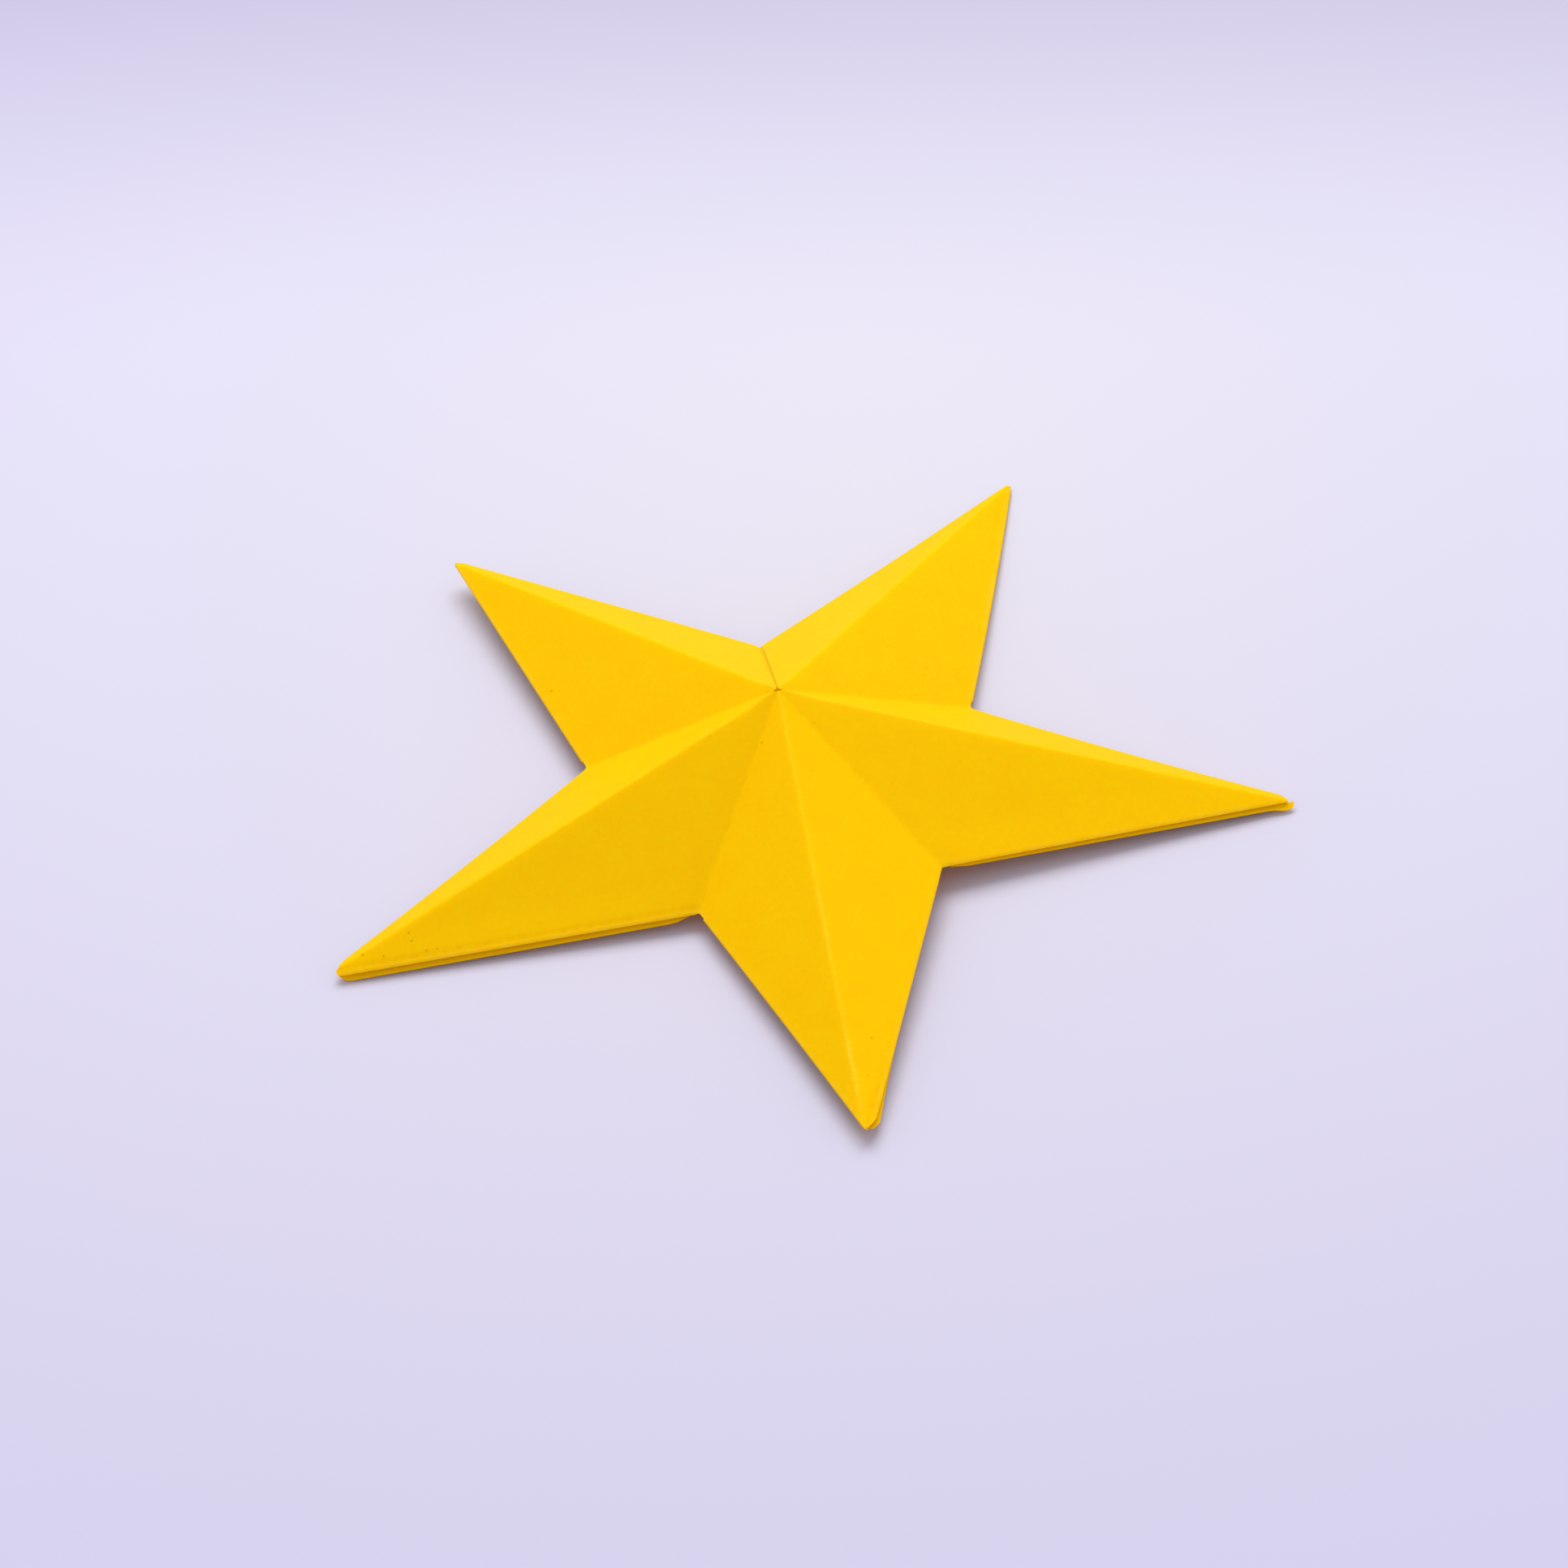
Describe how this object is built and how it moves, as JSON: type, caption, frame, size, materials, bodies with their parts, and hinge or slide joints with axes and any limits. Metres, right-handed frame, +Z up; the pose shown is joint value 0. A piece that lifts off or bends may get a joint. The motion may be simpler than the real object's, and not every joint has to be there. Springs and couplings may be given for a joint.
{
  "type": "folded paper star",
  "caption": "Five-pointed star folded from one sheet of yellow paper, with a raised middle, ridge folds to the tips and valley folds to the notches.",
  "frame": {"origin": "middle of the outline seen from above, on the surface that the star lies on", "axes": "+Z up, through the raised side; -Y towards the tip of the front arm; the seam's notch is on the +Y side"},
  "size_m": [0.1332, 0.1268, 0.0193],
  "materials": {
    "yellow_paper": "matt dyed paper"
  },
  "bodies": {
    "root": {"paper_star": "yellow_paper"}
  },
  "joints": []
}
